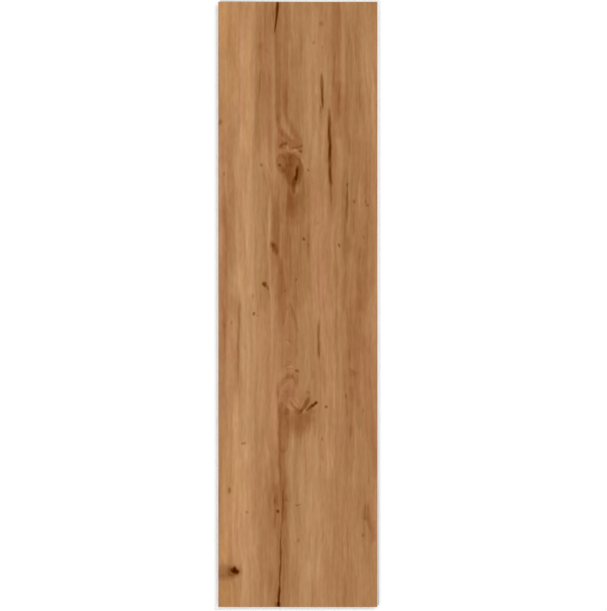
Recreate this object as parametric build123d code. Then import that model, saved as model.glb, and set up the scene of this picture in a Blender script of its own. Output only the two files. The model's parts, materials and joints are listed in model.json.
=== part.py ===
from build123d import *
import os

# Rigid core vinyl plank: one piece of flooring stock whose four edges are milled into a click lock.
# Millimetres, +Z up. X runs across the plank and Y along it. The origin lies on the underside, below
# the middle of the decorative face. The +X side and the +Y end carry the tongue, and the -X side and
# the -Y end carry the groove above its lip, so a second plank set one face width or one face length
# away locks into the first.

# Decorative face, measured from joint line to joint line
face_length = 870.0
face_width = 228.6
thickness = 6.0
edge_bevel = 0.4

# Lock, with heights measured from the underside
tongue_reach = 2.4
tongue_thickness = 1.8
tongue_bottom = 2.0
nose_round = 0.6
heel_bottom = 1.6
heel_start = 0.6
heel_width = 2.35
hook_height = 0.9
hook_lean = 0.4
hook_width = 1.3
hook_chamfer = 0.4
root_round = 0.3

# Clearances between one plank and the next: on the surfaces that meet, and past each free tip
play = 0.05
tip_gap = 0.3

# The tongue and the groove that takes it
tongue_top = tongue_bottom + tongue_thickness
groove_roof = tongue_top + play
groove_floor = tongue_bottom - play
groove_depth = tongue_reach + tip_gap

# The heel below the tongue drops into the trough of the lip, and the hook at the lip's end holds it
slope_start = heel_start - (tongue_bottom - heel_bottom)
trough_floor = heel_bottom - play
heel_end = heel_start + heel_width
hook_foot = heel_end + play
hook_crest = hook_foot + hook_lean
hook_top = trough_floor + hook_height
lip_reach = hook_crest + hook_width + hook_chamfer

# The catch behind the heel takes the hook
catch_roof = hook_top + play
catch_start = heel_end + hook_lean
catch_end = lip_reach + tip_gap


# Both edges are lists of (distance, height) from the face down to the underside. The distance runs from
# the joint line towards the neighbour on the groove edge, and away from the neighbour on the tongue
# edge, so it is the same place for two planks that are locked together.
def groove_edge():
    return [
        (-edge_bevel, thickness),
        (0, thickness - edge_bevel),
        (0, groove_roof),
        (-groove_depth, groove_roof),
        (-groove_depth, groove_floor),
        (slope_start, groove_floor),
        (heel_start, trough_floor),
        (hook_foot, trough_floor),
        (hook_crest, hook_top),
        (lip_reach - hook_chamfer, hook_top),
        (lip_reach, hook_top - hook_chamfer),
        (lip_reach, 0),
    ]


def tongue_edge():
    return [
        (edge_bevel, thickness),
        (0, thickness - edge_bevel),
        (0, tongue_top),
        (-tongue_reach, tongue_top),
        (-tongue_reach, tongue_bottom),
        (slope_start, tongue_bottom),
        (heel_start, heel_bottom),
        (heel_end, heel_bottom),
        (catch_start, catch_roof),
        (catch_end, catch_roof),
        (catch_end, 0),
    ]


def section(span):
    """The plank cut across a face of this span, groove at the low end and tongue at the high end."""
    groove_line = -span / 2
    tongue_line = span / 2
    groove_side = [(groove_line - s, z) for s, z in groove_edge()]
    tongue_side = [(tongue_line - s, z) for s, z in tongue_edge()]
    outline = make_face(Polyline(*groove_side, *reversed(tongue_side), close=True))
    root = groove_line + groove_depth
    roots = [v for v in outline.vertices() if abs(v.X - root) < play / 2]
    outline = fillet(roots, root_round)
    noses = outline.vertices().group_by(Axis.X)[-1]
    return fillet(noses, nose_round)


def lip_ends():
    """What is trimmed off where a lip would run on under the tongue of the other edge. Milling leaves
    only a thin flake of it there, as far in as the catch."""
    lip_band = lip_reach + groove_depth
    catch_band = catch_end + tongue_reach
    low = (Align.MIN, Align.MIN, Align.MIN)
    side_lip = Box(lip_band, catch_band, catch_roof, align=low)
    end_lip = Box(catch_band, lip_band, catch_roof, align=low)
    side_corner = Pos(-face_width / 2 - lip_reach, face_length / 2 - catch_end)
    end_corner = Pos(face_width / 2 - catch_end, -face_length / 2 - lip_reach)
    return side_corner * side_lip + end_corner * end_lip


def plank():
    """The long edges are milled along the whole blank, and then the ends across it."""
    along = extrude(Plane.XZ * section(face_width), face_length, both=True)
    across = extrude(Plane.YZ * section(face_length), face_width, both=True)
    return (along & across) - lip_ends()


os.makedirs("parts", exist_ok=True)
export_step(plank(), "parts/plank.step")
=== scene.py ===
import json
import math
from collections import namedtuple

import bmesh
import bpy
import numpy as np
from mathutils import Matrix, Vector, noise


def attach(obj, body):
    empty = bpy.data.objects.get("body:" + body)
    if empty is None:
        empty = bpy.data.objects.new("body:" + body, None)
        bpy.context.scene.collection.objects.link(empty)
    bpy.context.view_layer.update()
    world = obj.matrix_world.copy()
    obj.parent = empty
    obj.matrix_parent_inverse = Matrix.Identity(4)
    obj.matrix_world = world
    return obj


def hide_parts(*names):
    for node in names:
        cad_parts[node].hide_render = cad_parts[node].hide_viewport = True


# A rigid core vinyl plank, face up on a pale floor and seen from straight above. The board is the CAD
# solid's own surface with its face laid out again as a fine grid, which takes the embossing. The oak print
# is painted by shader nodes: grain from stretched noise, and knots, cracks and streaks from lists of
# strokes. All but the broadest strokes press the embossing into the grid too, in register with the print.

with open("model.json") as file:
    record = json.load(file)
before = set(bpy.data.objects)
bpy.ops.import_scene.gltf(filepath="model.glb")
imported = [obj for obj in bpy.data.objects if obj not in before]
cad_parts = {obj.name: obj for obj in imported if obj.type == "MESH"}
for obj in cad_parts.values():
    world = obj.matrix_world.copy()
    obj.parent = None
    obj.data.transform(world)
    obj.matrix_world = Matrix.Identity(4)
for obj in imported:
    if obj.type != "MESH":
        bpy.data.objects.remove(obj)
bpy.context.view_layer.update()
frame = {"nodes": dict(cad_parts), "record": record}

MM = 0.001
BOARD = "plank"


# The face, from the joint lines that the record's mounts give

def mount_place(name):
    found = [m for m in frame["record"]["mounts"] if m["name"] == name]
    return Vector(found[0]["pos_m"])


FACE_LEFT = mount_place("groove_side_joint").x
FACE_RIGHT = mount_place("tongue_side_joint").x
FACE_LOW = mount_place("groove_end_joint").y
FACE_HIGH = mount_place("tongue_end_joint").y
FACE_TOP = mount_place("wear_face").z
FACE_WIDTH = FACE_RIGHT - FACE_LEFT
FACE_LENGTH = FACE_HIGH - FACE_LOW

# The photograph: its size, and where the face's outline lies in it, in pixels
PHOTO_WIDTH = 607
PHOTO_HEIGHT = 611
PHOTO_FACE_LEFT = 218.32
PHOTO_FACE_RIGHT = 377.38
PHOTO_FACE_TOP = 1.65
PHOTO_FACE_BOTTOM = 607.2


# Strokes. A stroke lies along a line from start to end, in millimetres from the face's lower left corner.
# It is 1 along its middle and falls to 0 at half_width. bow moves its middle sideways, to the right for a
# stroke that runs upwards. hard is the share of the half width that stays at full strength, and ends is
# the shape of its outline. tone is how much lighter the print gets, in levels of 255, red is how much
# redder and gold how much yellower. depth is how deep the embossing goes, in millimetres.

Stroke = namedtuple("Stroke", "start end half_width tone red gold bow hard depth ends")


def band(start, end, half_width, tone, red=0.0, gold=0.0, hard=0.0):
    return Stroke(start, end, half_width, tone, red, gold, 0.0, hard, 0.0, "square")


def line(start, end, half_width, tone, red=0.0, bow=0.0, depth=0.03, gold=0.0):
    return Stroke(start, end, half_width, tone, red, gold, bow, 0.1, depth, "long")


def crack(start, end, half_width, tone, bow=0.0, depth=0.25):
    return Stroke(start, end, half_width, tone, 0.0, 0.0, bow, 0.3, depth, "long")


def spot(centre, half_width, half_height, tone, red=0.0, lean=0.0, depth=0.06):
    """A round or oval spot, whose upper end leans to the right by lean millimetres."""
    x, y = centre
    start = (x - lean, y - half_height)
    end = (x + lean, y + half_height)
    return Stroke(start, end, half_width, tone, red, 0.0, 0.0, 0.15, depth, "round")


def patch(centre, half_width, half_height, tone, red=0.0, lean=0.0, depth=0.04):
    """A larger spot with a flat middle."""
    return spot(centre, half_width, half_height, tone, red, lean, depth)._replace(hard=0.6)


BANDS = [
    # The left edge, golden above and below and redder between
    band((6, 900), (7, 800), 11, 5, 0, 0.9),
    line((7, 960), (10, 630), 14, 11, gold=0.7, depth=0),
    band((24, 890), (24, 715), 8, 8, 0, 0.9),
    band((16, 720), (17, 580), 11, 0, 0.3),
    band((3, 700), (3, 560), 6, 3, 0.3, 0.3),
    band((7, 600), (7, 340), 10, -7, 0.3, 0.3),
    band((17, 430), (15, 270), 11, 4, 0.3),
    band((14, 290), (12, 60), 16, 9, 0.2, 0.6),
    band((10, 42), (14, -30), 22, 6, 0, 1.1),
    line((3, 90), (12, 58), 4.5, 8, gold=0.9, depth=0),
    band((7, 108), (9, 62), 8, 5, 0, 0.7),
    # The pale field left of the middle
    band((43, 900), (40, 640), 14, 13, 0.1, 0.4),
    band((36, 700), (36, 430), 16, 14, 0, 0.25),
    band((46, 690), (47, 430), 7, 8),
    band((33, 450), (33, 330), 7, 6),
    band((45, 470), (43, 200), 14, 14),
    band((39, 240), (42, -30), 14, 13, 0, 0.3),
    band((27, 320), (26, 40), 8, 15, 0.1, 0.5),
    band((36, 200), (36, 40), 6, 6),
    # From the pale field to the middle
    band((58, 880), (57, 640), 6, -3, -0.1, 0.1),
    band((66, 880), (72, 640), 11, -9, 0.3),
    band((58, 660), (56, 440), 9, 5, -0.3),
    band((63, 440), (60, 250), 9, 8, 0, 0.2),
    band((77, 470), (77, 220), 8, 4, 0.3, 0.2),
    band((57, 240), (55, 30), 10, 3, 0.2, 0.2),
    band((74, 220), (72, 20), 12, -7, 0.2, 0.2),
    # The dark middle
    band((86, 890), (86, 690), 7, -17, 0.2),
    band((97, 890), (95, 700), 6, -15, 0.1),
    band((108, 810), (108, 680), 8, -7, -0.1),
    band((104, 640), (104, 545), 24, -10, 0.2),
    band((108, 600), (112, 420), 19, -11, 0.1),
    band((82, 620), (82, 485), 9, -9, 0.3),
    band((92, 508), (90, 430), 11, -6, 0.1),
    band((96, 440), (97, 340), 14, -6, 0.3),
    band((105, 440), (106, 300), 11, -5, 0.1),
    band((93.5, 297), (93, 220), 9.8, -14, 0.3, 0, 0.6),
    band((112, 290), (112, 240), 18, -9, 0.1),
    band((89, 190), (88, -20), 9, -14, 0.1),
    band((98, 200), (98, -20), 7, -11, 0.1),
    # The lighter field right of the middle
    band((118, 880), (116, 690), 14, 1, -0.2),
    band((138, 870), (138, 660), 14, 7),
    band((155, 800), (152, 600), 9, 3, -0.1),
    band((143, 680), (144, 560), 14, 0),
    band((147, 600), (149, 400), 17, 4, 0.4),
    band((138, 440), (138, 360), 6, 5, -0.1),
    band((124, 420), (128, 290), 9, 1, -0.2),
    band((158, 440), (160, 250), 14, 5, 0.2),
    band((160, 262), (160, 180), 16, 6, 0.1),
    band((112, 250), (112, 60), 14, 1, -0.2),
    band((119, 250), (119, -20), 7, 8),
    band((137, 270), (137, 30), 16, 9),
    band((129, 70), (128, -20), 7, 8),
    band((150, 60), (148, -30), 16, 3, 0.1),
    # The right side
    band((171, 890), (168, 690), 9, -15, 0.3),
    band((192, 880), (190, 640), 13, -6),
    band((217, 880), (216, 680), 12, 5, 0.1),
    band((175, 760), (175, 670), 14, -8, 0.2),
    band((186, 690), (185, 490), 10, -10, -0.2),
    band((181, 640), (181, 420), 7, -8, -0.1),
    band((205, 680), (207, 480), 18, -6, 0.1),
    band((223, 760), (223, 560), 5, 8),
    band((205, 520), (206, 420), 11, -9, 0.1),
    band((194, 500), (192, 290), 16, -8, 0.2),
    band((200, 450), (200, 300), 18, -7, 0.3),
    band((217, 440), (216, 220), 11, -3, 0.3),
    band((190, 320), (190, 185), 7, -10, 0.1),
    band((224, 310), (224, 180), 6, -8, 0.3),
    band((176, 300), (175, 20), 14, -3, 0.1),
    band((188, 75), (188, -20), 9, -7, 0.2),
    band((203, 130), (204, -20), 7, 8),
    band((212, 300), (211, -20), 16, -4),
    band((217, 160), (222, 90), 8, -6, 0.2),
    band((224, 890), (224, -20), 7, 4),
    band((2, 700), (2, 200), 5, 4, 0.2),
]

# Broad soft clouds in the print, that make a part of the plank lighter or darker than its bands
CLOUDS = [
    spot((77, 840), 8, 45, -12, 0.1),
    spot((15, 775), 8, 45, 7),
    spot((67, 775), 7, 40, 7, 0.1),
    spot((46, 715), 9, 50, 12),
    spot((25, 715), 9, 45, 10),
    spot((98, 715), 6, 40, -6, 0.1),
    spot((116, 715), 9, 45, -9),
    spot((150, 715), 8, 40, -9),
    spot((202, 715), 8, 40, -7),
    spot((67, 652), 8, 40, 9),
    spot((140, 655), 9, 40, 11),
    spot((162, 655), 13, 70, -16, 0.1),
    spot((25, 590), 8, 40, -7, 0.1),
    spot((125, 590), 11, 46, -14),
    spot((164, 590), 11, 44, -10, 0.1),
    spot((5, 527), 8, 40, 9),
    spot((98, 527), 8, 42, -13, 0.2),
    spot((94, 490), 15, 90, -6, 0.2),
    spot((129, 527), 8, 42, -11, 0.1),
    spot((212, 527), 8, 40, -6),
    spot((15, 465), 7, 40, 5),
    spot((27, 465), 12, 46, 13),
    spot((150, 465), 8, 40, 7, 0.1),
    spot((171, 465), 7, 40, -6),
    spot((215, 465), 11, 42, -8, 0.1),
    spot((4, 403), 6, 40, 6),
    spot((24, 403), 8, 42, 10),
    spot((171, 403), 7, 40, -8, 0.1),
    spot((218, 403), 11, 42, 6),
    spot((150, 341), 7, 40, -7),
    spot((191, 341), 7, 38, 6),
    spot((4, 279), 6, 40, 5, 0.2),
    spot((25, 279), 7, 40, 8),
    spot((89, 266), 7, 42, -10, 0.2),
    spot((129, 290), 9, 38, -9, 0.1),
    spot((202, 279), 8, 40, -10, 0.1),
    spot((223, 279), 7, 42, 6, 0.1),
    spot((15, 217), 7, 40, 8),
    spot((36, 217), 8, 46, 12),
    spot((67, 217), 7, 40, 9, 0.1),
    spot((88, 214), 6, 46, -7, 0.2),
    spot((140, 217), 7, 40, 6),
    spot((160, 217), 7, 40, 6, 0.1),
    spot((4, 155), 6, 38, -7),
    spot((36, 155), 7, 42, 9),
    spot((77, 155), 8, 42, -9, 0.2),
    spot((46, 93), 7, 40, 7),
    spot((161, 93), 6, 38, 6),
    spot((15, 22), 8, 30, -5),
    spot((77, 30), 8, 46, -12, 0.1),
    spot((213, 30), 6, 36, 5),
    spot((222, 560), 9, 190, -9, 0.1),
    spot((127, 465), 8, 42, -7),
    spot((90, 662), 12, 28, -11, 0.3),
    spot((117, 662), 9, 28, -14, 0.2),
    spot((40, 668), 11, 36, -5),
    spot((82.5, 545), 10, 66, -15, -0.1),
    spot((90, 440), 11, 72, -11, 0.1),
    spot((36, 790), 7, 95, 5),
    spot((35, 475), 7, 80, 5),
    spot((118, 240), 9, 70, -7),
    spot((87, 150), 5, 34, -7, 0.1),
    spot((89, 282), 6, 34, -5, 0.1),
    spot((181, 20), 8, 44, -7, 0.1),
    spot((202, 530), 9, 60, -6),
    spot((212, 715), 8, 52, -6),
]

# Narrow streaks of grain, lighter or darker
STREAKS = [
    # Top left
    line((14, 880), (13, 740), 2.5, -8, -0.6),
    line((24, 880), (23, 760), 2, -8, 0.4),
    line((33, 890), (33, 640), 3, 8, 0.6),
    line((39, 875), (38, 800), 1.6, -8, -0.2),
    line((44, 880), (45, 720), 3, 5),
    line((54, 860), (55, 700), 3, -5, -0.4),
    line((62, 778), (59, 722), 2.4, -18, 0, 1),
    line((60, 830), (58, 780), 3, -8, 0.4),
    line((67, 880), (66, 800), 2, -6),
    line((72, 800), (71, 730), 3, 5, 0.4),
    # Beside the upper crack
    line((91, 850), (92, 740), 1.5, 5, 0.3),
    line((104, 875), (99, 760), 2, -8),
    # Middle of the top
    line((119, 852), (119, 770), 1.7, -9, -0.2),
    line((155, 865), (154, 835), 1.5, -8, 0.4),
    line((139, 752), (141, 735), 2, 9, 0.3),
    line((143, 725), (146, 712), 2, 8),
    line((147, 722), (149, 700), 1.4, -10, 0.3),
    # Top right
    line((167, 800), (166, 740), 2.2, -9, 0.5),
    line((174, 750), (172, 700), 2, -7, 0.6),
    line((188, 860), (188, 790), 1.5, -9, 0.2),
    line((198, 850), (198, 770), 1.8, -10),
    line((203, 760), (204, 700), 2, -11, -0.1),
    line((200, 720), (203, 640), 2.2, -7, -0.1),
    line((223, 770), (223, 735), 2, 9, 0.3),
    # Between the knots, left
    line((12, 640), (10, 590), 2.2, 6, 0.6),
    line((18, 600), (17, 575), 2.5, -8, 0.1),
    line((34, 620), (44, 480), 3.2, 6, 0.1),
    line((63, 630), (69, 600), 1.8, -10, -0.2, -1),
    line((69, 600), (69, 545), 2.2, -9, -0.3),
    line((68, 640), (76, 615), 1.6, 10, 0.2, -1),
    line((75.5, 604), (72, 500), 3.4, 14, 0, 0.6),
    line((73, 512), (76, 430), 3.2, 11, 0.1),
    line((66, 560), (66, 530), 2, -8, -0.2),
    line((85, 510), (90, 472), 4.2, -9, 0, -1.5),
    line((88, 505), (88, 430), 7, -6, 0.1),
    line((103, 560), (103, 440), 2.6, -8, 0.1),
    line((97, 500), (97, 440), 1.6, 7, 0.3),
    line((116, 590), (115, 530), 1.7, 7, 0.1),
    line((118, 560), (118, 500), 1.4, -9, 0.3),
    line((130, 580), (128, 490), 2, -7),
    line((151, 580), (156, 560), 1.8, 7, 0.2),
    line((113, 480), (115, 440), 1.6, 8),
    # Between the knots, right
    line((186, 655), (185, 560), 1.8, -10, -0.3),
    line((207, 655), (206, 600), 1.8, -9, 0.3),
    line((203, 620), (202, 570), 1.5, 8, 0.3),
    line((194, 575), (194, 530), 1.8, -10, 0.3),
    line((197, 530), (196, 490), 1.8, -9, 0.4),
    line((182, 560), (183, 490), 2.6, -7, -0.3),
    line((165, 500), (166, 470), 1.6, -7),
    # The long line on the left, and the field beside it
    line((31, 470), (28.3, 308), 2.6, -20, 0.2, 0.4),
    line((36, 470), (35, 330), 4, 5),
    line((22, 460), (23, 330), 6, -5, 0.2),
    line((8, 440), (10, 350), 2.4, -8, 0.3),
    line((77, 450), (77, 360), 2.2, 9, 0.4),
    # Arches of grain above the lower knot
    line((90, 398), (98, 440), 3.2, -9, 0.2, 1.6),
    line((100, 441), (113, 390), 3.4, -15, 0.1, -2.6),
    line((113, 404), (113, 352), 3, -9, 0.2, 0.8),
    line((94, 400), (99.5, 430), 4, 7, 0.2),
    line((100, 430), (101, 410), 2, 8, 0.2),
    line((94, 380), (107, 378), 2.4, -9, 0.2, -5),
    line((97, 383), (105, 374), 1.4, 13, 0.3),
    line((92, 340), (108, 350), 1.6, -9, 0.2, -3),
    line((94, 343), (109, 342), 1.2, 10, 0.3, -4),
    line((95, 349), (109, 348), 1.2, -10, 0.2, -4),
    line((98, 358), (104, 352), 1.1, 6, 0.3),
    line((98, 343), (110, 341), 1.1, -9, 0.2, -1),
    line((113, 340), (115, 322), 1.8, -12, 0.1),
    # The edge that runs down from the lower knot
    line((88.5, 298), (88, 205), 3.8, -5, 0.3),
    line((92.5, 238), (92.5, 154), 9, -15, 0.3),
    line((100.5, 276), (99.5, 236), 2.6, -8, 0.1),
    line((83, 290), (82, 220), 3, 5, 0.4),
    line((108, 255), (107, 220), 1.7, 8, 0.1),
    line((122, 262), (121, 220), 1.3, 8, 0.2),
    line((118, 250), (117, 215), 1.3, -8, -0.2),
    line((125, 250), (126, 190), 1.3, -9, -0.1),
    line((140, 262), (138, 245), 3, -10, 0.2),
    line((138, 400), (134, 330), 3, -5, -0.4),
    line((136, 343), (136, 325), 3, -11, -0.3),
    line((128, 372), (124, 345), 1.6, 7),
    line((161, 438), (163, 400), 1.6, 7, 0.3),
    line((153, 345), (153, 300), 1.6, -7, 0.1),
    line((157, 318), (156, 300), 1.8, 8, 0.2),
    line((166, 330), (167, 280), 2.4, 7, 0.2),
    # Flecks of the right side, lower half
    line((184, 345), (198, 335), 3, -8, -0.1),
    line((183, 310), (186, 270), 1.8, -13),
    line((185, 440), (185, 385), 2.2, -8, 0.2),
    line((205, 420), (201, 400), 2, -7, 0.2),
    line((219, 400), (217, 360), 1.8, -8),
    line((190, 265), (190, 230), 2, -10),
    line((200, 265), (200, 240), 1.8, 6, -0.4),
    line((215, 225), (216, 170), 1.5, -9, 0.5),
    line((212, 175), (211, 130), 1.5, -8),
    # Bottom left
    line((65, 205), (65, 160), 2.2, 6, 0.5),
    line((36, 60), (33, -20), 1.8, 7, 0.1),
    line((53, 160), (52, 110), 1.8, -7),
    line((83, 180), (81, 110), 3.6, -12, 0.2),
    line((86, 230), (90, 165), 4, -7, 0.3),
    line((97, 165), (98, 150), 2.5, -13, 0.1),
    line((83, 50), (80, -10), 2.6, -6, 0.1),
    line((93, 90), (94, 0), 2, -7, 0.1),
    # Bottom middle and right
    line((102, 210), (103, 130), 2.6, -4, -0.4),
    line((134, 200), (134, 60), 2, 6, 0.1),
    line((148, 215), (150, 190), 2.6, 8, 0.1),
    line((163, 215), (163, 195), 1.8, 8),
    line((128, 95), (133, 80), 1.3, -8, -0.1),
    line((151, 110), (150, 90), 1.5, -8, -0.1),
    line((181, 100), (178, 60), 1.6, -9, 0.1),
    line((185, 120), (187, 60), 1.8, -8, 0.3),
    line((196, 80), (199, 40), 1.8, 7, 0.1),
    line((208, 142), (227, 88), 5, -11, 0.1, -1),
    line((218, 160), (222, 100), 1.6, 8, 0.4),
    line((221, 80), (224, 30), 1.6, -8, -0.2),
]

# The large knot above the middle
UPPER_KNOT = [
    # Grain that runs down from the crack and curls to the right above the knot
    line((85, 775), (85, 682), 5.6, -9, 0.3),
    line((84.5, 712), (109, 669), 5.4, -18, 0.3, 9),
    spot((88, 680), 7, 12, -9, 0.3, 1),
    line((97, 765), (97.5, 692), 4.4, -9, 0.2),
    line((97, 714), (121, 668), 5.6, -13, 0.2, 4.5),
    line((91, 750), (92, 696), 2.6, 4, 0.4),
    line((91, 712), (115, 667), 3.2, 4, 0.4, 6.5),
    spot((115, 686), 5, 10, -6, -0.2, -1),
    # Ripples between that grain and the knot
    spot((104, 664), 22, 15, -17, 0.3),
    spot((104, 676), 18, 16, -6, 0.3),
    spot((88, 667), 8, 12, -8, 0.2),
    line((85, 657), (102, 665), 3.2, -17, 0.2, -3.5),
    spot((91, 660.5), 3.4, 4.4, -16, 0.2),
    spot((96.5, 667), 5, 3, -13, 0.2),
    spot((99.5, 660), 4, 4, 19, 0.2),
    spot((110, 656.5), 5, 3, 17, 0.2),
    line((91, 656.5), (116, 652.5), 1.9, 8, 0.2, -1.5),
    line((103, 660.5), (122, 664), 2.8, -16, 0.1, 2),
    spot((118, 655.5), 4.6, 3.6, -30, 0.1),
    spot((120, 663.5), 3.6, 3, -14, 0.1),
    # Its body, redder and darker at the upper left
    patch((108.5, 627), 16, 32, -28, 0.1, 1),
    patch((103.5, 643), 13.5, 14, -11, 0.4, -1),
    spot((99, 649), 11, 10, -19, 0.3, -1),
    spot((117.5, 618), 8.5, 26, -5, -0.4),
    spot((117, 638), 7, 14, -7, 0.1, -2),
    line((92, 653), (122, 622), 2.4, -5, 0.2, -10),
    line((113, 655), (124.5, 624), 2.6, 9, 0.1, -3.2),
    line((104, 640), (100, 612), 2.2, -4, 0.2, 1),
    line((107, 650), (114, 634), 2.4, 4, 0.3, -2),
    # The lobe on its left, and the brown between it and the body
    patch((90.5, 637), 10.5, 19, -20, 0.2, -2),
    spot((96, 622), 8, 34, -4, 0.3),
    line((83, 634), (94, 652.5), 2.4, -5, 0.2, -3.5),
    spot((93, 645), 3.6, 4.8, 8, 0.2),
    spot((88, 635), 4.4, 4.6, -34, 0.1, 0, 0.08),
    line((88, 634), (95, 615), 6, -11, 0.2, -3),
    # Its tail
    line((107, 606), (104, 554), 14, -13, 0.3, 0, 0),
    spot((105, 580), 9, 16, -5, 0.2),
    spot((102, 594), 8, 14, -7, 0.2),
    spot((117, 588), 9, 18, -8, -0.5),
    spot((97, 584), 3.4, 4, 6, 0.3),
]

# The large knot below the middle, under its arches of grain
LOWER_KNOT = [
    # The dark arch on top, its two legs and the left edge that goes on downwards
    spot((103, 331.5), 8, 8, -14, 0.2),
    line((91, 321), (111.5, 318), 1.8, 5, 0.2, -7),
    line((83.5, 297), (104.5, 336), 6.4, -16, 0.2, -5),
    line((102, 336), (113.5, 310), 4.4, -13, 0.2, -3.5),
    spot((85.8, 306.5), 4, 9, -7, 0.1),
    line((85.5, 314), (88.5, 274), 3, -8, 0.3, 1),
    spot((112.8, 340), 4.2, 4.4, -40, 0, 0, 0.08),
    line((113, 338), (114.5, 318), 2.8, -9),
    # The dome inside
    patch((101, 309), 15, 17, -4, 0.3),
    spot((102, 299), 18, 22, -6, 0.3),
    spot((91, 297), 7, 13, -8, 0.3),
    line((88.5, 307), (112, 309), 2.8, 7, 0.2, -13.5),
    spot((96.5, 310), 6, 5, -9, 0.1),
    line((94, 304), (107, 305), 2.6, -5, 0.1, 1),
    # Rays that run to the lower right
    line((91, 296), (109.5, 280.5), 4, 13, 0.3, -0.5),
    line((102, 303.5), (117.5, 283.5), 2.4, 9, 0.3, 0.8),
    line((110, 303), (120, 287), 2.2, 6, 0.3),
    line((101.5, 298), (117, 281.5), 3.2, -14, 0.1, 1.4),
    line((107, 301), (118.5, 285.5), 1.8, -8, 0.1),
    # The dark patch and the shade below
    spot((97.5, 281), 6.4, 8, -15, 0.1, 2.5),
    spot((94.5, 274), 6, 10, -7, 0.1, 1),
    spot((116, 281), 11, 6, -16, 0.1),
    spot((118, 267), 30, 26, -12, 0.3),
    spot((128, 272), 15, 12, -6, 0.2),
    spot((106, 262), 12, 18, -2, 0.2),
    spot((123.5, 281), 3.4, 5, 20, 0.2, 1.5),
    spot((135, 282), 9, 6, -13, 0.2, 1.5),
    spot((129, 308), 6, 5, -14, 0.1),
    spot((122, 296), 9, 14, -9, 0.1, 3),
]

OTHER_KNOTS = [
    # The small slanting knot, and the shade around it
    spot((82, 515), 9, 15, -9, 0, -5),
    spot((80.5, 516.5), 5.6, 12, -24, 0.1, -6, 0.1),
    spot((79, 520), 4.6, 5.4, -16, 0, -1.5, 0.08),
    spot((76.5, 523), 3.4, 3.4, -10, 0, -1, 0.06),
    spot((84, 510), 4.4, 5, -4, 0.1, -1.5, 0.05),
    line((75.5, 527), (85, 509), 1.5, 9, 0, -1),
    line((73, 524), (80, 509), 1.4, -8, 0.1, 1),
    # The very dark knot near the lower left corner, in its halo
    spot((23, 51.5), 15, 14, -30, -0.2, 0, 0.04),
    spot((5, 51), 25, 15, -17, 0.1, 0, 0),
    spot((8, 42), 18, 9, -8, 0.1, 0, 0),
    line((17.5, 57.5), (31, 46.5), 7.2, -48, -0.2, 0, 0.12),
    line((20, 56), (30, 48.5), 5, -34, 0, 0, 0.2),
    line((13, 50), (20, 44), 2.6, -12, 0, 1.5),
]

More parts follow.
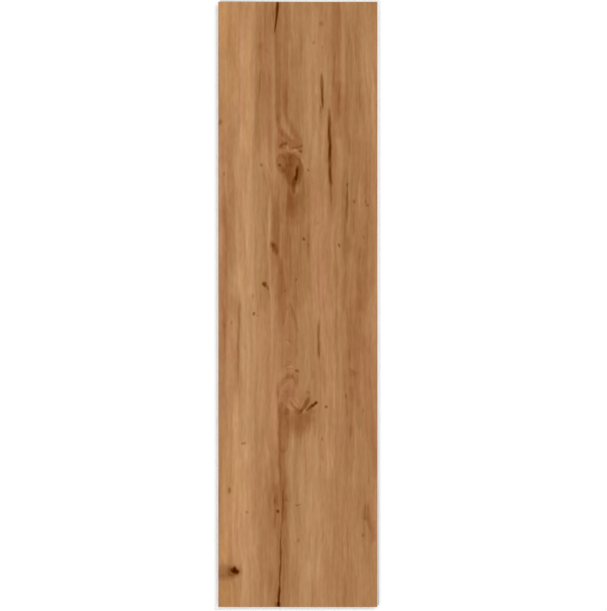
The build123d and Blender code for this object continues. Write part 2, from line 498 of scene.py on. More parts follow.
# Pin knots and flecks, and after them some blotches
SPOTS = [
    spot((66.5, 464), 5, 5, -60, 0, -1, 0.12),
    spot((71, 459), 3.1, 5.9, -28, 0.1, -2),
    spot((73, 448), 2.6, 11.8, -12, 0.2, -1),
    spot((51.5, 421.5), 4.2, 3.3, -49, -0.2, -1),
    spot((57, 419), 3.1, 2.4, -14, 0, -1.5),
    spot((62, 635), 3.5, 4, -26, -0.3),
    spot((130, 628), 3.1, 3.3, -32),
    spot((185, 607), 2.6, 4.2, -30),
    spot((195, 583), 3.3, 4.2, -24, -0.1),
    spot((212, 583), 2.6, 5.9, -20, 0.2, -0.5),
    spot((214, 577), 4.2, 3.3, -22, 0.4),
    spot((123, 529), 3.1, 3.3, -46),
    spot((173.5, 520), 2.8, 5.4, -39, 0, -1.2),
    spot((209, 532), 2.6, 3.8, -16),
    spot((142, 551), 2.8, 3.5, -12, -0.2),
    spot((112, 471), 2.1, 4, -30, -0.1),
    spot((50, 448), 2.8, 4, -20, -0.2),
    spot((96, 454), 2.6, 3.5, -12, 0.2),
    spot((148, 839), 4.2, 4.4, -19, 0, -2.5),
    spot((137, 811), 4.4, 2.8, -17, 0.1, -2),
    spot((149, 804), 2.8, 3.8, -14),
    spot((2.5, 696), 5, 7.1, -25),
    spot((8, 622), 2.1, 5.9, -18, 0.1),
    spot((129, 520), 2.4, 4, -12, -0.4),
    spot((155, 287.5), 3.5, 3.8, -39, -0.4),
    spot((183, 303), 2.8, 5.4, -18),
    spot((36.5, 235), 4.7, 3.1, -31, -0.2, 1),
    spot((149, 241), 2.6, 4.7, -22, -0.3),
    spot((26, 263), 2.8, 4.7, -10),
    spot((16, 168), 3.3, 7.7, -32, 0, -0.4),
    spot((41, 136), 3.5, 3.1, -24, -0.3),
    spot((33, 132), 1.9, 5.9, -10, -0.1),
    spot((85, 137), 3.8, 4, -50, 0.1, 0, 0.1),
    spot((82, 152), 3.2, 4.7, -8, 0, -1),
    spot((114, 147), 6.4, 2.1, -24, 0.1),
    spot((115, 95), 3.3, 4.7, -18, 0, -1.5),
    spot((208, 103), 3.3, 4.7, -22, -0.1),
    spot((211, 127), 2.6, 5.4, -16, 0.5),
    spot((214, 136), 11, 20, -11, 0.1),
    spot((223, 116), 5, 14, -8, 0.1),
    spot((208, 283), 2.8, 4.2, -14, -0.3),
    spot((38, 373), 2.4, 4.7, -10),
    spot((19, 409), 2.8, 5.4, -14, 0.1),
    spot((9, 404), 4.2, 5.9, -10, -0.5),
    # Brown shade along the line to the lower end
    spot((81, 172), 7, 12, -10, 0.2),
    spot((83, 155), 4.6, 14, -10, 0.2),
    spot((98, 153), 6, 5, -12, 0.1),
    spot((80, 118), 6, 22, -9, 0.3),
    spot((96, 136), 5, 16, -9),
    spot((96, 92), 4, 14, -5, -0.5),
    # Blotches of the right side
    spot((206, 380), 8, 24, -8, 0.2),
    spot((187, 362), 6, 16, -8, 0.1),
    spot((194, 336), 10, 7, -10),
    spot((202, 300), 9, 18, -8, 0.3),
    spot((190, 252), 5, 16, -8, 0.1),
    spot((216, 322), 6, 16, -6, 0.3),
    spot((204, 466), 7, 24, -4, 0.2),
    spot((188, 520), 6, 20, -8, -0.2),
    spot((211, 610), 6, 26, -6, 0.2),
    spot((200, 742), 6, 26, -7),
    spot((177, 722), 9, 26, -5, 0.2),
    spot((170, 752), 8, 20, -4, 0.2),
    # Blotches left of the upper crack
    spot((60, 806), 8, 9, -9, 0.3),
    spot((69, 800), 4, 6, -7, 0.3),
    spot((78, 818), 5, 9, 5, 0.4),
    spot((74, 752), 6, 26, -6, 0.4),
    spot((66, 766), 4, 10, -8, 0.2),
]

CRACKS = [
    # From the upper end
    crack((79.8, 820), (85.2, 892), 2.8, -50, 2),
    crack((83.4, 838), (84.8, 888), 2, -12, 0.6),
    crack((79, 836), (78, 884), 1.8, -12, 0, 0),
    # The short one and the long one right of the middle
    crack((150.2, 710), (148, 774), 3.3, -42),
    crack((149.8, 720), (148.8, 750), 2.6, -14, 0, 0),
    crack((147.6, 708), (146.8, 722), 1.8, -14, 0, 0),
    spot((160, 672), 5, 50, -8, 0.2, 0, 0),
    crack((160.6, 594), (159.2, 728), 4.1, -40),
    crack((159.8, 636), (159.2, 704), 2.6, -15, 0, 0),
    crack((163, 572), (160.2, 640), 2.8, -19, 0, 0.18),
    crack((159.6, 646), (159.2, 668), 3, -10, 0, 0),
    # In the upper knot
    crack((110.4, 611), (113.6, 637), 3.6, -42, 1.2),
    crack((108.4, 592), (111.4, 622), 4.6, -30, -1),
    crack((112, 618), (113.6, 632), 2.2, -14, 0.4, 0),
    # Thin ones lower down
    crack((145, 350), (144, 418), 3.7, -27, 0, 0.15),
    crack((144.8, 358), (144.2, 384), 2.2, -12, 0, 0),
    crack((184.8, 548), (185.4, 606), 2.6, -18, 0, 0.1),
    crack((117, 277), (132, 304.5), 4.2, -28, 0.6, 0.15),
    crack((125.5, 281.5), (144, 297), 3.3, -46, 0.4, 0.2),
    crack((133.5, 287.5), (143.4, 295.8), 3, -27, 0, 0),
    # The long line down to the lower end, and the notch that it opens into
    crack((90.4, 108), (92.8, 174), 2.6, -21, 1, 0.1),
    crack((92.4, 146), (93, 172), 2.2, -8, 0.2, 0),
    crack((86.4, -20), (90.2, 126), 2.2, -40, 0.6, 0.2),
    crack((85.8, -24), (86.8, 36), 2.9, -36, 0.2, 0.2),
    crack((84.8, -14), (86.2, 10), 6.4, -36, 0, 0.25),
]

# What the embossing follows
RELIEF = STREAKS + UPPER_KNOT + LOWER_KNOT + OTHER_KNOTS + SPOTS + CRACKS


# Shader nodes, written as arithmetic

class Field:
    """A number or a vector that varies over the surface: one output socket."""

    def __init__(self, nodes, socket):
        self.nodes = nodes
        self.socket = socket

    def __add__(self, other):
        return self.nodes.math("ADD", self, other)

    def __sub__(self, other):
        return self.nodes.math("SUBTRACT", self, other)

    def __mul__(self, other):
        return self.nodes.math("MULTIPLY", self, other)


# A layer of noise: its scale across and along, in cycles per millimetre, the detail and roughness of its
# noise, and a shift across, away from what another layer shows
Layer = namedtuple("Layer", "across along detail roughness shift", defaults=(1.0, 0.5, 0.0))


class Nodes:
    """A node tree, with a short call for each kind of node that it takes."""

    def __init__(self, tree):
        self.tree = tree

    def node(self, kind, inputs=(), **settings):
        made = self.tree.nodes.new(kind)
        for key, value in settings.items():
            setattr(made, key, value)
        for key, value in dict(inputs).items():
            self.feed(made.inputs[key], value)
        return made

    def feed(self, socket, value):
        if isinstance(value, Field):
            self.tree.links.new(value.socket, socket)
        else:
            socket.default_value = value

    def field(self, node, output=0):
        return Field(self, node.outputs[output])

    def math(self, operation, *values):
        return self.field(self.node("ShaderNodeMath", enumerate(values), operation=operation))

    def vector_math(self, operation, *values):
        return self.field(self.node("ShaderNodeVectorMath", enumerate(values), operation=operation))

    def dot(self, first, second):
        node = self.node("ShaderNodeVectorMath", enumerate((first, second)), operation="DOT_PRODUCT")
        return self.field(node, "Value")

    def length(self, vector):
        return self.field(self.node("ShaderNodeVectorMath", {0: vector}, operation="LENGTH"), "Value")

    def combine(self, x, y, z=0.0):
        return self.field(self.node("ShaderNodeCombineXYZ", enumerate((x, y, z))))

    def split(self, vector):
        node = self.node("ShaderNodeSeparateXYZ", {0: vector})
        return self.field(node, 0), self.field(node, 1), self.field(node, 2)

    def ease(self, value, low, high, at_low=0.0, at_high=1.0):
        inputs = {"Value": value, "From Min": low, "From Max": high, "To Min": at_low, "To Max": at_high}
        settings = {"interpolation_type": "SMOOTHSTEP", "clamp": False}
        return self.field(self.node("ShaderNodeMapRange", inputs, **settings))

    def noise(self, layer, x, y):
        """A layer of noise over x and y, between about -1 and 1 and mostly near 0."""
        place_x = x * layer.across
        if layer.shift:
            place_x = place_x + layer.shift
        place = self.combine(place_x, y * layer.along)
        inputs = {"Vector": place, "Scale": 1.0, "Detail": layer.detail, "Roughness": layer.roughness}
        node = self.node("ShaderNodeTexNoise", inputs, noise_dimensions="2D")
        return self.math("MULTIPLY_ADD", self.field(node, 0), 3.0, -1.5)

    def add_up(self, start, *parts):
        """The start, plus each part times its factor."""
        total = start
        for part, factor in parts:
            total = self.math("MULTIPLY_ADD", part, factor, total)
        return total

    def ramp(self, value, stops):
        node = self.node("ShaderNodeValToRGB", {"Fac": value})
        elements = node.color_ramp.elements
        while len(elements) < len(stops):
            elements.new(0.5)
        for element, (place, colour) in zip(elements, stops):
            element.position = place
            element.color = (*colour, 1.0)
        return self.field(node)


class Paint(Nodes):
    """A new material, with its shader."""

    def __init__(self, name):
        self.material = bpy.data.materials.new(name)
        self.material.use_nodes = True
        super().__init__(self.material.node_tree)
        self.shader = self.tree.nodes["Principled BSDF"]

    def finish(self, colour, roughness, sheen, height, depth):
        """Sets the shader's sockets. The height is raised into the normal, over this depth in metres."""
        bump = self.node("ShaderNodeBump", {"Height": height, "Strength": 1.0, "Distance": depth})
        self.feed(self.shader.inputs["Base Color"], colour)
        self.feed(self.shader.inputs["Roughness"], roughness)
        self.feed(self.shader.inputs["Specular IOR Level"], sheen)
        self.feed(self.shader.inputs["Normal"], self.field(bump))
        return self.material


# What the studio light makes of a level surface: a multiple of its base colour, and the gloss on top
LIGHT_LEVEL = 1.135
GLOSS = 0.0135


def seen(red, green, blue, gloss=GLOSS):
    """The base colour that shows as this colour, in levels of 255, on a level surface in the studio."""
    levels = (red / 255, green / 255, blue / 255)
    shown = [v / 12.92 if v <= 0.04045 else ((v + 0.055) / 1.055) ** 2.4 for v in levels]
    return tuple(max(v - gloss, 0.0005) / LIGHT_LEVEL for v in shown)


# A stroke's own coordinates: how far a point lies across it, in half widths, and along it, in half
# lengths. Each is a row of three factors, for x, y and 1.

def stroke_rows(stroke):
    run = Vector(stroke.end) - Vector(stroke.start)
    side = Vector((run.y, -run.x)).normalized()
    ahead = run.normalized()
    middle = (Vector(stroke.start) + Vector(stroke.end)) / 2 + side * stroke.bow
    half_length = run.length / 2
    across = side / stroke.half_width
    along = ahead / half_length
    return (*across, -across.dot(middle)), (*along, -along.dot(middle))


def stroke_group(ends):
    """Nodes that add one stroke to a sum of tone, redness and gold. No socket changes its type on the
    way and nothing is clamped, because each of these holds room in the shader's small memory."""
    tree = bpy.data.node_groups.new("stroke_" + ends, "ShaderNodeTree")
    for name in ("Sum", "Place", "Across", "Along", "Effect"):
        tree.interface.new_socket(name, in_out="INPUT", socket_type="NodeSocketVector")
    for name in ("Bow", "Hard"):
        tree.interface.new_socket(name, in_out="INPUT", socket_type="NodeSocketFloat")
    tree.interface.new_socket("Sum", in_out="OUTPUT", socket_type="NodeSocketVector")
    nodes = Nodes(tree)
    given = nodes.node("NodeGroupInput")
    place = nodes.field(given, "Place")
    straight = nodes.dot(place, nodes.field(given, "Across"))
    along = nodes.dot(place, nodes.field(given, "Along"))
    along_squared = along * along
    across = nodes.math("MULTIPLY_ADD", along_squared, nodes.field(given, "Bow"), straight)
    distance_squared = nodes.math("MULTIPLY_ADD", across, across, end_distance(along_squared, ends))
    share = nodes.ease(distance_squared, 1.0, nodes.field(given, "Hard"))
    if ends != "square":
        share = share * share
    shares = nodes.combine(share, share, share)
    effect = nodes.field(given, "Effect")
    total = nodes.vector_math("MULTIPLY_ADD", shares, effect, nodes.field(given, "Sum"))
    nodes.node("NodeGroupOutput", {"Sum": total})
    return tree


def end_distance(along_squared, ends):
    """What the place along a stroke adds to the squared distance from its middle. An oval adds its
    square, a long stroke its fourth power, and one with square ends its eighth."""
    if ends == "round":
        return along_squared
    if ends == "long":
        return along_squared * along_squared
    fourth = along_squared * along_squared
    return fourth * fourth


def strokes_on_nodes(nodes, place, strokes):
    """The sum of all strokes, as one vector of tone, redness and gold."""
    groups = {ends: stroke_group(ends) for ends in ("round", "long", "square")}
    total = nodes.combine(0.0, 0.0, 0.0)
    for stroke in strokes:
        across, along = stroke_rows(stroke)
        node = nodes.node("ShaderNodeGroup", node_tree=groups[stroke.ends])
        inputs = {
            "Sum": total,
            "Place": place,
            "Across": across,
            "Along": along,
            "Effect": (stroke.tone, stroke.red, stroke.gold),
            "Bow": stroke.bow / stroke.half_width,
            "Hard": stroke.hard ** 2,
        }
        for name, value in inputs.items():
            nodes.feed(node.inputs[name], value)
        total = nodes.field(node)
    return total


def stroke_on_points(x, y, stroke):
    across_row, along_row = stroke_rows(stroke)
    across = across_row[0] * x + across_row[1] * y + across_row[2]
    along_squared = (along_row[0] * x + along_row[1] * y + along_row[2]) ** 2
    across = across + stroke.bow / stroke.half_width * along_squared
    distance_squared = across ** 2 + end_distance(along_squared, stroke.ends)
    share = np.clip((1 - distance_squared) / (1 - stroke.hard ** 2), 0, 1)
    share = share * share * (3 - 2 * share)
    return share if stroke.ends == "square" else share * share


# Materials

# The print's colours lie close to one line: lighter or darker by the same number of levels in red, green
# and blue, until blue and then green run out. Darker wood is a little redder.
OAK = (176, 128, 85.5)
REDDER = 0.07
MOST_REDDER = 3.0
DARKEST = -160
LIGHTEST = 40
TONE_STEP = 20

# The print's specular level, and how much of it goes with each level of darkening
SHEEN = 0.15
SHEEN_FALL = 0.0018


def oak_colour(tone):
    red, green, blue = (level + tone for level in OAK)
    red = red + min(-tone * REDDER, MOST_REDDER)
    gloss = GLOSS * max(1 + tone * SHEEN_FALL / SHEEN, 0)
    return seen(max(red, 0), max(green, 0), max(blue, 0), gloss)


# Knots that the grain parts around: centre, how far the bend reaches across and along, and its strength
GRAIN_BENDS = [
    ((106, 632), (42, 75), 0.55),
    ((80, 515), (20, 50), 0.5),
    ((102, 305), (44, 80), 0.55),
    ((23, 51), (30, 55), 0.6),
    ((66, 464), (12, 26), 0.4),
]


# Layers of noise in the print: bends of the grain, the grain itself, and how strokes wobble
WANDER = Layer(0.011, 0.0035)
WAVE = Layer(0.045, 0.018)
GROWTH = Layer(0.1, 0.005, 2.0)
STREAK = Layer(0.19, 0.012, 1.0, 0.3)
FIBRE = Layer(0.42, 0.028, 0.5)
MOTTLE = Layer(0.26, 0.08)
FLECK = Layer(1.3, 0.09, 2.0, 0.6)
PORE = Layer(3.4, 0.16)
DASH = Layer(0.34, 0.034, shift=70.0)
BLUSH = Layer(0.09, 0.014, 2.0, 0.6)
WOBBLE_ACROSS = Layer(0.16, 0.055)
WOBBLE_ALONG = Layer(0.17, 0.1, shift=40.0)

# The noise at which a pore or a dash starts, and at which it is whole
PORE_RANGE = (0.35, 0.9)
DASH_RANGE = (0.3, 1.1)

# How far the grain lines wander and the strokes wobble, in millimetres
WANDER_REACH = 5.0
WAVE_REACH = 1.9
WOBBLE_REACH_ACROSS = 0.9
WOBBLE_REACH_ALONG = 1.6
FIBRE_REACH = 0.4

# How many levels of tone each layer of the grain adds
GROWTH_TONE = 6.5
STREAK_TONE = 6.4
MOTTLE_TONE = 4.2
FIBRE_TONE = 1.9
DASH_TONE = -5.5
FLECK_TONE = 0.8
PORE_TONE = -1.6

# What one unit of redness and one of gold do to red, green and blue
RED_TINT = (0.03, -0.07, 0.05)
GOLD_TINT = (0.04, 0.0, -0.12)
BLUSH_RED = 0.4

# The print's roughness, with what the pores, the flecks and each level of tone add to it
ROUGH = 0.45
ROUGH_PORE = 0.1
ROUGH_FLECK = 0.03
ROUGH_TONE = -0.002

# The fine relief of fibres, flecks and pores, as shares of its depth
GRAIN_DEPTH = 0.06 * MM
FIBRE_SHARE = 0.3
FLECK_SHARE = 0.2
PORE_SHARE = -0.5


def printed_oak():
    paint = Paint("printed_oak")
    corner = (FACE_LEFT, FACE_LOW, 0.0)
    to_mm = (1 / MM, 1 / MM, 1 / MM)
    object_place = paint.field(paint.node("ShaderNodeTexCoord"), "Object")
    place = paint.vector_math("MULTIPLY", paint.vector_math("SUBTRACT", object_place, corner), to_mm)
    x, y, _ = paint.split(place)

    # Grain lines part around the knots and wander along the plank
    bent = x
    for (knot_x, knot_y), reach, strength in GRAIN_BENDS:
        inputs = {"Vector": place, "Location": (knot_x, knot_y, 0.0), "Scale": (*reach, 1.0)}
        local = paint.field(paint.node("ShaderNodeMapping", inputs, vector_type="TEXTURE"))
        share = paint.ease(paint.length(local), 1.0, 0.0, 0.0, -strength)
        bent = paint.math("MULTIPLY_ADD", x - knot_x, share, bent)
    wander = paint.noise(WANDER, x, y)
    wave = paint.noise(WAVE, x, y)
    bent = paint.add_up(bent, (wander, WANDER_REACH), (wave, WAVE_REACH))

    growth = paint.noise(GROWTH, bent, y)
    streak = paint.noise(STREAK, bent, y)
    fibre = paint.noise(FIBRE, bent, y)
    mottle = paint.noise(MOTTLE, bent, y)
    fleck = paint.noise(FLECK, bent, y)
    pore = paint.noise(PORE, bent, y)
    dash = paint.noise(DASH, bent, y)
    blush = paint.noise(BLUSH, bent, y)

    # Strokes follow the grain and wobble a little, so that their edges look like wood
    wobble_x = paint.noise(WOBBLE_ACROSS, x, y)
    wobble_y = paint.noise(WOBBLE_ALONG, x, y)
    ragged_x = paint.add_up(x, (wobble_x, WOBBLE_REACH_ACROSS), (fibre, FIBRE_REACH))
    ragged_y = paint.add_up(y, (wobble_y, WOBBLE_REACH_ALONG))
    ragged = paint.combine(ragged_x, ragged_y, 1.0)
    total = strokes_on_nodes(paint, ragged, BANDS + CLOUDS + RELIEF)
    drawn, redness, gold = paint.split(total)

    pores = paint.ease(pore, *PORE_RANGE)
    dashes = paint.ease(dash, *DASH_RANGE)
    tone = paint.add_up(
        drawn,
        (growth, GROWTH_TONE),
        (streak, STREAK_TONE),
        (mottle, MOTTLE_TONE),
        (fibre, FIBRE_TONE),
        (dashes, DASH_TONE),
        (fleck, FLECK_TONE),
        (pores, PORE_TONE),
    )
    span = LIGHTEST - DARKEST
    tones = range(DARKEST, LIGHTEST + 1, TONE_STEP)
    stops = [((level - DARKEST) / span, oak_colour(level)) for level in tones]
    colour = paint.ramp(paint.math("MULTIPLY_ADD", tone, 1 / span, -DARKEST / span), stops)
    redness = paint.add_up(redness, (blush, BLUSH_RED))
    tint = paint.vector_math("MULTIPLY_ADD", redness, RED_TINT, (1.0, 1.0, 1.0))
    tint = paint.vector_math("MULTIPLY_ADD", gold, GOLD_TINT, tint)
    colour = paint.vector_math("MULTIPLY", colour, tint)

    # The socket's own sheen is what remains where a linked one is dropped
    paint.shader.inputs["Specular IOR Level"].default_value = SHEEN
    sheen = paint.math("MAXIMUM", paint.add_up(SHEEN, (tone, SHEEN_FALL)), 0.0)
    rough = paint.add_up(ROUGH, (pores, ROUGH_PORE), (fleck, ROUGH_FLECK), (tone, ROUGH_TONE))
    height = paint.add_up(fibre * FIBRE_SHARE, (pores, PORE_SHARE), (fleck, FLECK_SHARE))
    return paint.finish(colour, rough, sheen, height, GRAIN_DEPTH)


# Heights in the board, in millimetres: the printed film lies under the clear wear layer
FILM_BOTTOM = 5.38
FILM_TOP = 5.48
FILM_BLEND = 0.04
THICKNESS = FACE_TOP / MM

# What the core's colour is multiplied by: on its own, in the film and through the wear layer
BARE = (1.0, 1.0, 1.0)
FILM = (0.42, 0.27, 0.17)
WEAR_LAYER = (0.82, 0.76, 0.68)

# The bare core: milled on the edges and sanded on the underside, each between two shown colours
EDGE_DARK = (242, 241, 237)
EDGE_LIGHT = (255, 255, 254)
EDGE_GRIT = Layer(1.6, 1.6, 2.0, 0.6)
EDGE_CLOUD = Layer(0.06, 0.06, 2.0)
CUTTER_LINES = Layer(0.02, 2.2, 2.0, 0.6)
SANDED_DARK = (222, 219, 212)
SANDED_LIGHT = (246, 244, 239)
SANDED_GRIT = Layer(1.4, 1.4, 2.0, 0.6)
SANDED_CLOUD = Layer(0.025, 0.016, 3.0, 0.6)
SANDING_LINES = Layer(0.9, 0.012, 2.0, 0.6)
CORE_SHEEN = 0.25
CORE_DEPTH = 0.02 * MM


def board_places(paint):
    """The place in millimetres, and a flat pair of coordinates that changes over every side."""
    scaled = paint.field(paint.node("ShaderNodeTexCoord"), "Object")
    x, y, z = paint.split(paint.vector_math("MULTIPLY", scaled, (1 / MM, 1 / MM, 1 / MM)))
    return x, y, z, x + z * 0.8, y - z * 0.6


def milled_core():
    """Bare stone plastic on the milled edges, with cutter lines along them. The edges of the printed film
    and of the wear layer show along their top."""
    paint = Paint("milled_core")
    x, y, z, flat_x, flat_y = board_places(paint)
    grit = paint.noise(EDGE_GRIT, flat_x, flat_y)
    cloud = paint.noise(EDGE_CLOUD, flat_x, flat_y)
    cutter = paint.noise(CUTTER_LINES, x + y, z)
    value = paint.add_up(0.5, (grit, 0.2), (cloud, 0.15), (cutter, 0.2))
    core = paint.ramp(value, [(0.0, seen(*EDGE_DARK)), (1.0, seen(*EDGE_LIGHT))])
    heights = (
        (0.0, BARE),
        (FILM_BOTTOM - FILM_BLEND, BARE),
        (FILM_BOTTOM, FILM),
        (FILM_TOP, FILM),
        (FILM_TOP + FILM_BLEND, WEAR_LAYER),
        (THICKNESS, WEAR_LAYER),
    )
    layers = paint.ramp(z * (1 / THICKNESS), [(height / THICKNESS, tint) for height, tint in heights])
    colour = paint.vector_math("MULTIPLY", core, layers)
    rough = paint.add_up(0.72, (grit, 0.05))
    height = paint.add_up(cutter, (grit, 0.3))
    return paint.finish(colour, rough, CORE_SHEEN, height, CORE_DEPTH)


def plain_underside():
    """The same board, faintly clouded, with fine lines from sanding along it."""
    paint = Paint("plain_underside")
    x, y, _, _, _ = board_places(paint)
    cloud = paint.noise(SANDED_CLOUD, x, y)
    sanding = paint.noise(SANDING_LINES, x, y)
    grit = paint.noise(SANDED_GRIT, x, y)
    value = paint.add_up(0.5, (cloud, 0.3), (sanding, 0.2), (grit, 0.12))
    colour = paint.ramp(value, [(0.0, seen(*SANDED_DARK)), (1.0, seen(*SANDED_LIGHT))])
    rough = paint.add_up(0.68, (sanding, 0.06))
    height = paint.add_up(sanding, (grit, 0.4))
    return paint.finish(colour, rough, CORE_SHEEN, height, CORE_DEPTH)


# The board

GRID_ACROSS = 254
GRID_ALONG = 290
FLAT = 1e-6

# The ripple of the whole face: cycles per millimetre across and along it, and half its depth
RIPPLE_ACROSS = 0.22
RIPPLE_ALONG = 0.012
RIPPLE_DEPTH = 0.03


def embossing(x, y):
    """How deep the face is pressed, in millimetres, at points in millimetres from its lower left corner."""
    depth = np.zeros_like(x)
    for stroke in RELIEF:
        if stroke.depth:
            depth = np.maximum(depth, stroke.depth * stroke_on_points(x, y, stroke))
    ripple = [noise.noise((px * RIPPLE_ACROSS, py * RIPPLE_ALONG, 0.0)) for px, py in zip(x, y)]
    return depth + RIPPLE_DEPTH * (1 + np.array(ripple))


def board_surface(cad):
    """The CAD surface, with its flat face laid out again as a grid that is joined to the bevel."""
    mesh = bmesh.new()
    mesh.from_mesh(cad.data)
    bmesh.ops.remove_doubles(mesh, verts=mesh.verts, dist=FLAT)
    face = [f for f in mesh.faces if all(v.co.z > FACE_TOP - FLAT for v in f.verts)]
    bmesh.ops.delete(mesh, geom=face, context="FACES")
    rim = [e for e in mesh.edges if e.is_boundary]
    for edges, cuts in (
        ([e for e in rim if abs(e.verts[0].co.y - e.verts[1].co.y) < FLAT], GRID_ACROSS - 1),
        ([e for e in rim if abs(e.verts[0].co.x - e.verts[1].co.x) < FLAT], GRID_ALONG - 1),
    ):
        bmesh.ops.subdivide_edges(mesh, edges=edges, cuts=cuts)
    rim_points = [v for v in mesh.verts if v.is_boundary]
    xs = np.linspace(min(v.co.x for v in rim_points), max(v.co.x for v in rim_points), GRID_ACROSS + 1)
    ys = np.linspace(min(v.co.y for v in rim_points), max(v.co.y for v in rim_points), GRID_ALONG + 1)
    rows = [[mesh.verts.new((x, y, FACE_TOP)) for x in xs] for y in ys]
    for low, high in zip(rows, rows[1:]):
        for i in range(GRID_ACROSS):
            mesh.faces.new((low[i], low[i + 1], high[i + 1], high[i]))
    bmesh.ops.remove_doubles(mesh, verts=mesh.verts, dist=FLAT)
    bmesh.ops.recalc_face_normals(mesh, faces=mesh.faces)

    top = [v for v in mesh.verts if v.co.z > FACE_TOP - FLAT]
    x = np.array([(v.co.x - FACE_LEFT) / MM for v in top])
    y = np.array([(v.co.y - FACE_LOW) / MM for v in top])
    for vertex, depth in zip(top, embossing(x, y)):
        vertex.co.z = FACE_TOP - depth * MM
    return mesh


# The three materials' places on the board. The print goes over the bevel too.
PRINT, CORE, UNDERSIDE = range(3)
PRINT_REACH = 0.5 * MM
PRINT_SLOPE = 0.3
SHARP_ANGLE = math.radians(30)

# The bake map: which part of its width the face, the underside and all milled edges take
COLUMNS = {PRINT: (0.005, 0.62), UNDERSIDE: (0.63, 0.83), CORE: (0.84, 0.995)}
MAP_MARGIN = 0.005
STRIP_GAP = 0.2 * MM


def strip_of(face):
    """Milled faces that lie in one plane on one side of the board share a strip of the bake map."""
    normal = face.normal
    centre = face.calc_center_median()
    outward = (FACE_LEFT - centre.x, centre.x - FACE_RIGHT, FACE_LOW - centre.y, centre.y - FACE_HIGH)
    side = outward.index(max(outward))
    turned = [round(value, 2) for value in normal]
    return side, *turned, round(normal.dot(centre) / MM, 2)


def strip_runs_along_y(strip):
    side, normal_x, normal_y = strip[:3]
    if max(abs(normal_x), abs(normal_y)) < 0.1:
        return side < 2
    return abs(normal_x) > abs(normal_y)


def unwrap(surface):
    """The face and the underside are laid out from above, and each milled strip along its own length."""
    layer = surface.loops.layers.uv.new("OFBake")
    low = [min(v.co[axis] for v in surface.verts) for axis in range(2)]
    high = [max(v.co[axis] for v in surface.verts) for axis in range(2)]

    def share(place, axis):
        return (place[axis] - low[axis]) / (high[axis] - low[axis])

    def map_height(place, axis):
        return MAP_MARGIN + (1 - 2 * MAP_MARGIN) * share(place, axis)

    strips = {}
    for face in surface.faces:
        if face.material_index == CORE:
            strips.setdefault(strip_of(face), []).append(face)
            continue
        first, last = COLUMNS[face.material_index]
        for loop in face.loops:
            place = loop.vert.co
            loop[layer].uv = (first + (last - first) * share(place, 0), map_height(place, 1))

    laid_out = []
    for strip in sorted(strips):
        axis = 1 if strip_runs_along_y(strip) else 0
        run = Vector((0, 1, 0)) if axis else Vector((1, 0, 0))
        across = strips[strip][0].normal.cross(run)
        reach = [across.dot(v.co) for face in strips[strip] for v in face.verts]
        laid_out.append((strips[strip], axis, across, min(reach), max(reach) - min(reach) + STRIP_GAP))
    first, last = COLUMNS[CORE]
    scale = (last - first) / sum(width for *_, width in laid_out)
    for faces, axis, across, start, width in laid_out:
        for face in faces:
            for loop in face.loops:
                place = loop.vert.co
                u = first + (across.dot(place) - start) * scale
                loop[layer].uv = (u, map_height(place, axis))
        first += width * scale


def make_board(cad, materials):
    surface = board_surface(cad)
    for face in surface.faces:
        face.smooth = True
        height = face.calc_center_median().z
        if height > FACE_TOP - PRINT_REACH and face.normal.z > PRINT_SLOPE:
            face.material_index = PRINT
        elif height < FLAT:
            face.material_index = UNDERSIDE
        else:
            face.material_index = CORE
    unwrap(surface)
    data = bpy.data.meshes.new("plank_board")
    surface.to_mesh(data)
    surface.free()
    data.set_sharp_from_angle(angle=SHARP_ANGLE)
    for material in materials:
        data.materials.append(material)
    board = bpy.data.objects.new("plank_board", data)
    bpy.context.scene.collection.objects.link(board)
    return board


# The stage

LAMPS = 6
LAMP_DISTANCE = 4.0
LAMP_TILT = math.radians(40)
LAMP_SIZE = 1.6
LAMP_POWER = 13.0
ROOM_LIGHT = 0.75
FLOOR_HALF = 12.0
FLOOR_DROP = 0.1 * MM
FLOOR_COLOUR = (0.93, 0.93, 0.93, 1.0)
LENS = 85.0
SENSOR = 36.0


def make_floor():
    paint = Paint("pale_floor")
    paint.shader.inputs["Base Color"].default_value = FLOOR_COLOUR
    paint.shader.inputs["Roughness"].default_value = 0.9
    paint.shader.inputs["Specular IOR Level"].default_value = 0.1
    corners = [(-1, -1), (1, -1), (1, 1), (-1, 1)]
    points = [(x * FLOOR_HALF, y * FLOOR_HALF, -FLOOR_DROP) for x, y in corners]
    data = bpy.data.meshes.new("floor")
    data.from_pydata(points, [], [(0, 1, 2, 3)])
    data.materials.append(paint.material)
    floor = bpy.data.objects.new("floor", data)
    bpy.context.scene.collection.objects.link(floor)


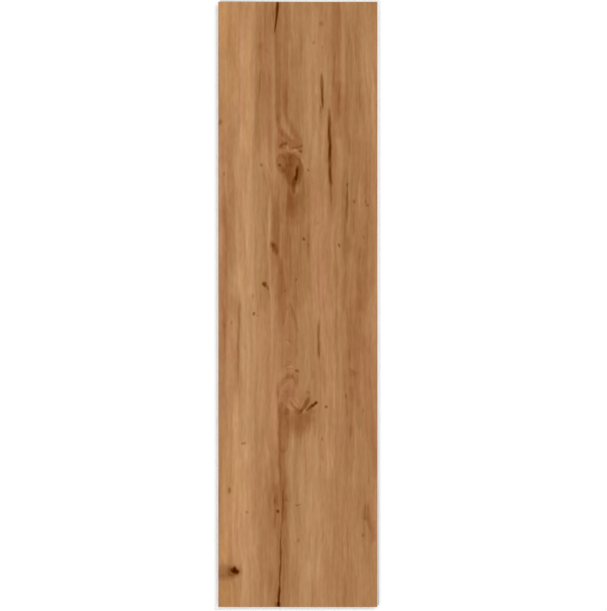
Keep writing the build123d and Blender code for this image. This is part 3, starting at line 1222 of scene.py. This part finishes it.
def soft_light(name, place, size, power):
    lamp = bpy.data.lights.new(name, "AREA")
    lamp.shape = "SQUARE"
    lamp.size = size
    lamp.energy = power
    light = bpy.data.objects.new(name, lamp)
    light.location = place
    light.rotation_euler = (-Vector(place)).to_track_quat("-Z", "Y").to_euler()
    bpy.context.scene.collection.objects.link(light)


def make_light():
    """A ring of soft lamps around the camera, so that no edge casts a shadow that shows."""
    for i in range(LAMPS):
        turn = 2 * math.pi * (i + 0.5) / LAMPS
        across = LAMP_DISTANCE * math.sin(LAMP_TILT)
        up = LAMP_DISTANCE * math.cos(LAMP_TILT)
        place = (across * math.cos(turn), across * math.sin(turn), up)
        soft_light("lamp_" + str(i), place, LAMP_SIZE, LAMP_POWER)
    world = bpy.data.worlds.new("room")
    world.use_nodes = True
    background = world.node_tree.nodes["Background"]
    background.inputs["Color"].default_value = (1.0, 1.0, 1.0, 1.0)
    background.inputs["Strength"].default_value = ROOM_LIGHT
    bpy.context.scene.world = world
    bpy.context.scene.view_settings.view_transform = "Standard"


def make_camera():
    """Straight above, with the face where the photograph has it."""
    pixel = FACE_WIDTH / (PHOTO_FACE_RIGHT - PHOTO_FACE_LEFT)
    face_x = (PHOTO_FACE_LEFT + PHOTO_FACE_RIGHT) / 2
    face_y = (PHOTO_FACE_TOP + PHOTO_FACE_BOTTOM) / 2
    data = bpy.data.cameras.new("camera")
    data.lens = LENS
    data.sensor_width = SENSOR
    camera = bpy.data.objects.new("camera", data)
    camera.location = (
        (FACE_LEFT + FACE_RIGHT) / 2 + (PHOTO_WIDTH / 2 - face_x) * pixel,
        (FACE_LOW + FACE_HIGH) / 2 - (PHOTO_HEIGHT / 2 - face_y) * pixel,
        FACE_TOP + PHOTO_HEIGHT * pixel * LENS / SENSOR,
    )
    bpy.context.scene.collection.objects.link(camera)
    bpy.context.scene.camera = camera


make_camera()
make_light()
make_floor()
board = make_board(frame["nodes"][BOARD], [printed_oak(), milled_core(), plain_underside()])
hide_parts(BOARD)
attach(board, "root")
